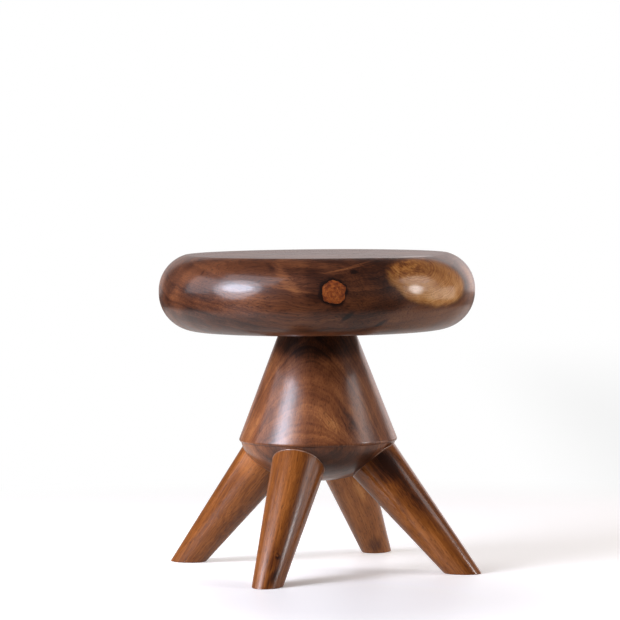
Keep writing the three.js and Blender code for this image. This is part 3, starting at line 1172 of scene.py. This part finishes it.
@dataclass
class Studio:
    """A white sweep with a pale wall behind it and soft panels, in a dark room."""

    focus: Triple = (0.0, 0.0, 0.33)
    panels: tuple[Panel, ...] = (
        Panel("key_panel", -58.5, 17, 1.8, 1.20, 1.32, 8.5, "eef1ff", Form.ROUND),
        Panel("key_heart", -57.5, 18.5, 1.75, 0.74, 0.60, 19.0, "e8ebff", Form.ROUND),
        Panel("key_spill", -55, 40, 1.8, 1.30, 0.70, 3.0, "f0f3ff"),
        Panel("left_panel", -92, 18, 1.8, 0.80, 1.00, 2.2, "f2f4ff"),
        Panel("right_lamp", 72.5, 10, 1.8, 0.33, 0.56, 18.0, "fdfcff", Form.ROUND),
        Panel("right_upper", 86, 17, 1.8, 0.55, 0.50, 1.4, "fff6f4"),
        Panel("right_top", 79, 29, 1.8, 0.84, 0.56, 3.3, "fff6f4", Form.ROUND),
        Panel("right_lower", 99, 0, 1.8, 0.90, 0.50, 1.9, "fff6f4"),
        Panel("back_panel", 173, 32, 1.8, 0.55, 0.45, 1.8, "fff4f2"),
    )
    # The room lights the stool evenly, but reflections see it dark, with a pale wall. A glow
    # is given at the left and at the right, and a side is given as the two sideways parts of
    # a direction between which the glow changes.
    ambient: float = 0.16
    room_glow: Point = (0.08, 0.22)
    room_side: Point = (0.3, 0.9)
    wall_glow: Point = (0.56, 1.6)
    wall_side: Point = (0.0, 0.5)
    wall_tint: str = "fff0ee"
    wall_azimuth: float = 172.0
    wall_half_angle: float = 36.0
    wall_top: float = 36.0
    wall_fade: float = 4.0
    # The sweep. A pair of radii, sides or edges says where a change starts and ends.
    floor_size: float = 14.0
    floor_colour: str = "faf9f5"
    floor_bounce: str = "cac4b9"
    floor_dark: str = "2c2a28"
    floor_haze: float = 0.55
    floor_gloss: float = 0.38
    floor_lift: Point = (0.0, 0.4)
    lift_centre: Triple = (0.03, -0.34, 0.0)
    lift_radius: Point = (0.08, 0.5)
    lit_radius: Point = (0.75, 1.25)
    dim: float = 0.09
    dim_side: Point = (0.33, 0.62)
    dim_radius: Point = (2.2, 5.5)
    sweep_centre: Triple = (0.0, 1.2, 0.0)
    sweep_size: Triple = (1.1, 1.85, 1.0)
    sweep_edge: Point = (0.86, 1.06)

    def build(self) -> None:
        """Lays the floor, hangs the panels and lights the room."""
        self.lay_floor()
        for panel in self.panels:
            self.hang(panel)
        self.light_room()

    def lay_floor(self) -> None:
        """Lays a white sweep that keeps the shadow.

        The camera sees it near white, with a glow of its own except where the shadow lies in
        front of the stool, and far off plain white that dims a little to the right. All other
        rays find it bright only in an oval round and behind the stool.
        """
        bpy.ops.object.select_all(action="DESELECT")
        bpy.ops.mesh.primitive_plane_add(size=self.floor_size)
        floor = bpy.context.object
        floor.name = "floor"
        material = bpy.data.materials.new("white_studio_sweep")
        tree = clean_tree(material)
        seen = add(tree, "LightPath").outputs["Is Camera Ray"]
        spot = add(tree, "TexCoord").outputs["Object"]
        away = add(tree, "VectorMath", spot, operation="LENGTH")
        sweep = add(tree, "Mapping", spot, self.sweep_centre, (0, 0, 0), self.sweep_size,
                    vector_type="TEXTURE")
        outwards = add(tree, "VectorMath", sweep, operation="LENGTH")
        swept = add(tree, "MapRange", outwards, *self.sweep_edge, 1.0, 0.0, **EASED)
        dark, pale, plain = map(linear, (self.floor_dark, self.floor_bounce, self.floor_colour))
        bounce = add(tree, "Mix", swept, dark, pale, data_type="RGBA")
        colour = add(tree, "Mix", seen, bounce, plain, data_type="RGBA")
        off = add(tree, "VectorMath", spot, self.lift_centre, operation="DISTANCE")
        rise = add(tree, "MapRange", off, *self.lift_radius, *self.floor_lift, **EASED)
        haze = add(tree, "Math", swept, self.floor_haze, operation="MULTIPLY")
        weight = add(tree, "Math", seen, haze, operation="MAXIMUM")
        lift = add(tree, "Math", weight, rise, operation="MULTIPLY")
        near = add(tree, "BsdfPrincipled", named={
            "Base Color": colour, "Roughness": self.floor_gloss,
            "Emission Color": WHITE, "Emission Strength": lift})
        side = add(tree, "SeparateXYZ", spot).outputs["X"]
        right = add(tree, "MapRange", side, *self.dim_side, 0.0, -self.dim, **EASED)
        close = add(tree, "MapRange", away, *self.dim_radius, 1.0, 0.0, **EASED)
        white = add(tree, "Math", right, close, 1.0, operation="MULTIPLY_ADD")
        distant = add(tree, "Emission", WHITE, white)
        far = add(tree, "MapRange", away, *self.lit_radius, **EASED)
        share = add(tree, "Math", far, seen, operation="MULTIPLY")
        add(tree, "OutputMaterial", add(tree, "MixShader", share, near, distant))
        floor.data.materials.append(material)

    def hang(self, panel: Panel) -> None:
        """Hangs one panel so that it faces the stool."""
        azimuth = math.radians(panel.azimuth)
        elevation = math.radians(panel.elevation)
        flat = math.cos(elevation)
        away = Vector((math.sin(azimuth) * flat, -math.cos(azimuth) * flat, math.sin(elevation)))
        bpy.ops.object.light_add(type="AREA", location=Vector(self.focus) + away * panel.distance,
                                 rotation=away.to_track_quat("Z", "Y").to_euler())
        lamp = bpy.context.object
        lamp.name = panel.name
        lamp.data.shape = panel.form.value
        lamp.data.size = panel.width
        lamp.data.size_y = panel.height
        lamp.data.color = linear(panel.tint)[:3]
        lamp.data.energy = math.pi * panel.area * panel.glow

    def light_room(self) -> None:
        """Lights the room: white where the camera looks, with a wall behind for reflections."""
        world = bpy.data.worlds.new("dark_room_with_pale_wall")
        bpy.context.scene.world = world
        tree = clean_tree(world)
        path = add(tree, "LightPath").outputs
        direction = add(tree, "TexCoord").outputs["Generated"]
        level = add(tree, "SeparateXYZ", direction).outputs
        azimuth = math.radians(self.wall_azimuth)
        towards = (math.sin(azimuth), -math.cos(azimuth), 0.0)
        fades = (self.wall_fade, -self.wall_fade)
        sides = [math.cos(math.radians(self.wall_half_angle + fade)) for fade in fades]
        top = [math.sin(math.radians(self.wall_top - fade)) for fade in fades]
        facing = add(tree, "VectorMath", direction, towards, operation="DOT_PRODUCT")
        wide = add(tree, "MapRange", facing, *sides, **EASED)
        low = add(tree, "MapRange", level["Z"], *top, 1.0, 0.0, **EASED)
        wall = add(tree, "Math", wide, low, operation="MULTIPLY")
        pale = add(tree, "MapRange", level["X"], *self.wall_side, *self.wall_glow, **EASED)
        dark = add(tree, "MapRange", level["X"], *self.room_side, *self.room_glow, **EASED)
        glossy = add(tree, "Mix", wall, dark, pale)
        unseen = add(tree, "Mix", path["Is Glossy Ray"], self.ambient, glossy)
        seen = add(tree, "Math", path["Is Camera Ray"], path["Is Transmission Ray"], operation="MAXIMUM")
        strength = add(tree, "Mix", seen, unseen, 1.0)
        tint = add(tree, "Mix", seen, linear(self.wall_tint), WHITE, data_type="RGBA")
        add(tree, "OutputWorld", add(tree, "Background", tint, strength))


@dataclass
class Viewpoint:
    """The camera, low and far off, at the photograph's angle."""

    distance: float = 4.78193
    height: float = 0.59761
    pitch: float = 2.924
    yaw: float = 0.1146
    roll: float = -0.5
    lens: float = 204.34
    sensor: float = 36.0

    def build(self) -> None:
        """Sets up the camera and makes it the scene's own."""
        turn = (Matrix.Rotation(math.radians(self.yaw), 3, "Z")
                @ Matrix.Rotation(math.radians(90 - self.pitch), 3, "X")
                @ Matrix.Rotation(math.radians(self.roll), 3, "Z"))
        bpy.ops.object.camera_add(location=(0, -self.distance, self.height), rotation=turn.to_euler())
        camera = bpy.context.object
        camera.name = "front_camera"
        camera.data.lens = self.lens
        camera.data.sensor_width = self.sensor
        bpy.context.scene.camera = camera


def main() -> None:
    """Builds and dresses every sub-assembly, then the studio and the camera."""
    logging.basicConfig(level=logging.INFO, format="%(message)s")
    bpy.context.scene.view_settings.view_transform = "Standard"
    seat = Seat(*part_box("seat"), *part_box("seat_knot"))
    legs = Legs()
    pedestal = Pedestal(*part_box("pedestal"), seat_underside=seat.low.z)
    seat.build()
    legs.build()
    pedestal.build([legs.socket(name) for name in legs.names])
    for part in (seat, pedestal, legs):
        part.dress()
        for piece in part.pieces:
            log.info("%s: %d faces", piece.name, len(piece.data.polygons))
    Wedges().dress()
    Studio().build()
    Viewpoint().build()


if __name__ == "__main__":
    main()
